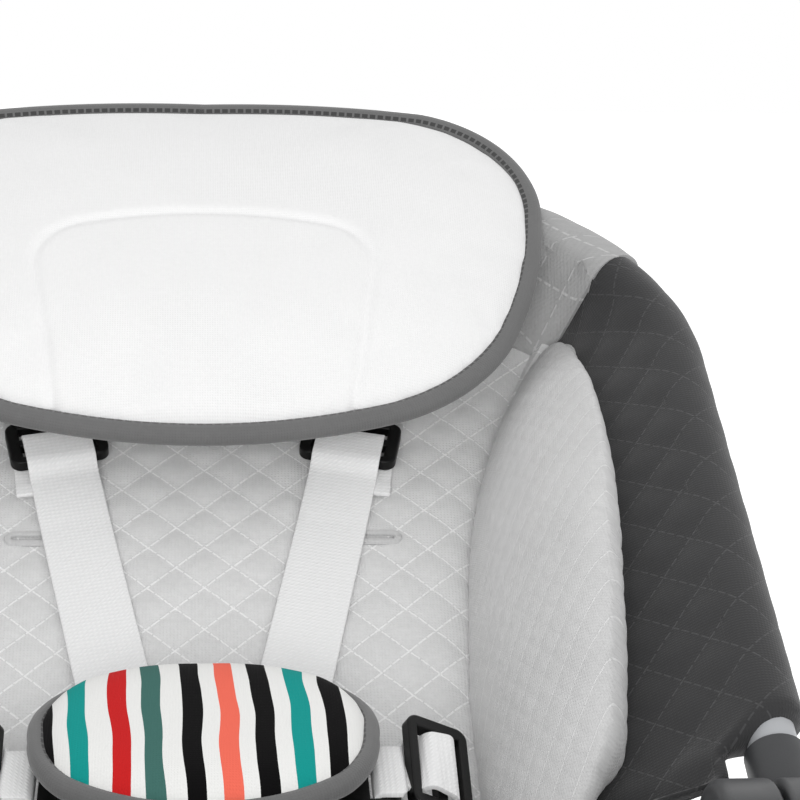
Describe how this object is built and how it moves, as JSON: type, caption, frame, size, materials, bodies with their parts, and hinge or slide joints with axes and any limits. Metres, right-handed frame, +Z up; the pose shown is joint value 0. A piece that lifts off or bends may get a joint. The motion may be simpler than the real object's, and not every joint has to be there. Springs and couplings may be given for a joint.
{
  "type": "baby bouncer seat",
  "caption": "Reclining baby bouncer seat on a sprung tube base, with a quilted cloth bucket, head pillow, harness with centre buckle and a padded tummy cover.",
  "frame": {"origin": "on the floor under the middle of the base, on the mid-plane", "axes": "+Z up, +Y towards the head end, +X to the right as seen from the front"},
  "size_m": [0.373, 0.6365, 0.412],
  "materials": {
    "frame_tube": "satin powder coat",
    "foot_rubber": "matt",
    "hub_plastic": "fine grain",
    "washer_plastic": "plain",
    "zinc_steel": "zinc plated",
    "button_plastic": "satin",
    "charcoal_cloth": "quilted",
    "grey_cloth": "diamond quilted",
    "white_cloth": "soft plain weave",
    "striped_cloth": "plain weave with uneven coloured stripes",
    "binding_cloth": "bias tape",
    "webbing": "twill webbing",
    "black_plastic": "fine grain"
  },
  "bodies": {
    "base": {"base_hoop": "frame_tube", "spring_arm_left": "frame_tube", "spring_arm_right": "frame_tube", "front_foot_left": "foot_rubber", "front_foot_right": "foot_rubber", "rear_foot_left": "foot_rubber", "rear_foot_right": "foot_rubber"},
    "seat": {"seat_hoop": "frame_tube", "seat_tunnel": "charcoal_cloth", "seat_sling": "charcoal_cloth", "seat_pad": "grey_cloth", "crotch_strap": "webbing", "hub_inner_left": "hub_plastic", "hub_inner_right": "hub_plastic", "friction_washer_left": "washer_plastic", "friction_washer_right": "washer_plastic", "pivot_bolt_left": "zinc_steel", "pivot_bolt_right": "zinc_steel"},
    "backrest": {"back_hoop": "frame_tube", "head_tunnel": "grey_cloth", "back_sling": "charcoal_cloth", "back_pad": "grey_cloth", "head_panel": "grey_cloth", "buckle_body": "black_plastic", "hub_outer_left": "hub_plastic", "hub_outer_right": "hub_plastic", "button_spring_left": "zinc_steel", "button_spring_right": "zinc_steel", "back_tunnel_left": "charcoal_cloth", "back_tunnel_right": "charcoal_cloth", "bolster_left": "grey_cloth", "bolster_right": "grey_cloth", "shoulder_strap_left": "webbing", "shoulder_strap_right": "webbing", "strap_anchor_left": "black_plastic", "strap_anchor_right": "black_plastic", "shoulder_adjuster_left": "black_plastic", "shoulder_adjuster_right": "black_plastic", "waist_strap_left": "webbing", "waist_strap_right": "webbing", "waist_adjuster_left": "black_plastic", "waist_adjuster_right": "black_plastic", "buckle_tongue_left": "black_plastic", "buckle_tongue_right": "black_plastic"},
    "pillow": {"head_pillow": "white_cloth", "pillow_binding": "binding_cloth"},
    "tummy": {"tummy_pad": "striped_cloth", "tummy_binding": "binding_cloth"},
    "left_button": {"recline_button_left": "button_plastic"},
    "right_button": {"recline_button_right": "button_plastic"},
    "release": {"buckle_button": "black_plastic"}
  },
  "joints": [
    {"name": "bounce", "type": "hinge", "parent": "base", "child": "seat", "pos_m": [0, -0.269, 0.054], "axis": [1, 0, 0], "range_deg": [-5, 4], "stiffness_Nm_per_rad": 260, "springref_deg": 1.15, "deforming": ["spring_arm_left", "spring_arm_right"]},
    {"name": "recline", "type": "hinge", "parent": "seat", "child": "backrest", "pos_m": [0, -0.04, 0.215], "axis": [1, 0, 0], "range_deg": [0, 25], "deforming": ["crotch_strap"]},
    {"name": "pillow_lift", "type": "hinge", "parent": "backrest", "child": "pillow", "pos_m": [0, 0.31107, 0.41033], "axis": [-1, 0, 0], "range_deg": [0, 60]},
    {"name": "tummy_lift", "type": "hinge", "parent": "backrest", "child": "tummy", "pos_m": [0, -0.02135, 0.23019], "axis": [1, 0, 0], "range_deg": [0, 70]},
    {"name": "left_button_press", "type": "slide", "parent": "backrest", "child": "left_button", "axis": [1, 0, 0], "range_m": [0, 0.004], "stiffness_N_per_m": 900, "deforming": ["button_spring_left"]},
    {"name": "right_button_press", "type": "slide", "parent": "backrest", "child": "right_button", "axis": [-1, 0, 0], "range_m": [0, 0.004], "stiffness_N_per_m": 900, "deforming": ["button_spring_right"]},
    {"name": "release_press", "type": "slide", "parent": "backrest", "child": "release", "axis": [0, 0.2504, -0.9681], "range_m": [0, 0.003], "stiffness_N_per_m": 900}
  ]
}
